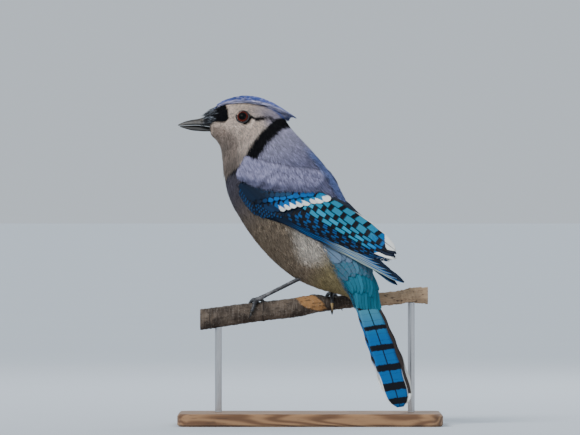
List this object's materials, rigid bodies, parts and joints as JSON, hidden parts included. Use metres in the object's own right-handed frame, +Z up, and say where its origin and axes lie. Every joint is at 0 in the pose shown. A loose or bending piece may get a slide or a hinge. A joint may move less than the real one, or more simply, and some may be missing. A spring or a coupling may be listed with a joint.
{
  "type": "life-size blue jay figure on a perch",
  "caption": "Still life-size blue jay gripping a cut branch, held by two rods over a flat wooden display base.",
  "frame": {"origin": "centre of the base's flat underside", "axes": "+Z up; +X along the branch towards the tail side; the bird's left side faces -Y and its bill points to -X"},
  "size_m": [0.1903, 0.116, 0.2375],
  "materials": {
    "crown_blue": "fine matt feathers with a faint sheen",
    "face_grey": "matt downy feathers",
    "mantle_grey": "matt downy feathers",
    "belly_grey": "matt downy feathers",
    "rump_blue": "matt feathers",
    "wing_blue": "smooth barred feathers with a satin sheen",
    "tail_blue": "smooth barred feathers with a satin sheen",
    "bill_black": "dark horn, half gloss",
    "eye_brown": "wet gloss",
    "leg_black": "scaly skin, half matt",
    "claw_black": "dark horn",
    "bark": "rough bark",
    "base_wood": "oiled, half matt",
    "rod_steel": "brushed"
  },
  "bodies": {
    "root": {"head": "face_grey", "bill_upper": "bill_black", "bill_lower": "bill_black", "eye_left": "eye_brown", "eye_right": "eye_brown", "crest": "crown_blue", "neck": "mantle_grey", "torso": "belly_grey", "rump": "rump_blue", "wing_left": "wing_blue", "wing_right": "wing_blue", "tail": "tail_blue", "perch": "bark", "stand_base": "base_wood", "stand_rod_left": "rod_steel", "stand_rod_right": "rod_steel", "thigh_left": "belly_grey", "tarsus_left": "leg_black", "toe_left_hallux": "leg_black", "claw_left_hallux": "claw_black", "toe_left_inner": "leg_black", "claw_left_inner": "claw_black", "toe_left_middle": "leg_black", "claw_left_middle": "claw_black", "toe_left_outer": "leg_black", "claw_left_outer": "claw_black", "thigh_right": "belly_grey", "tarsus_right": "leg_black", "toe_right_hallux": "leg_black", "claw_right_hallux": "claw_black", "toe_right_inner": "leg_black", "claw_right_inner": "claw_black", "toe_right_middle": "leg_black", "claw_right_middle": "claw_black", "toe_right_outer": "leg_black", "claw_right_outer": "claw_black"}
  },
  "joints": []
}
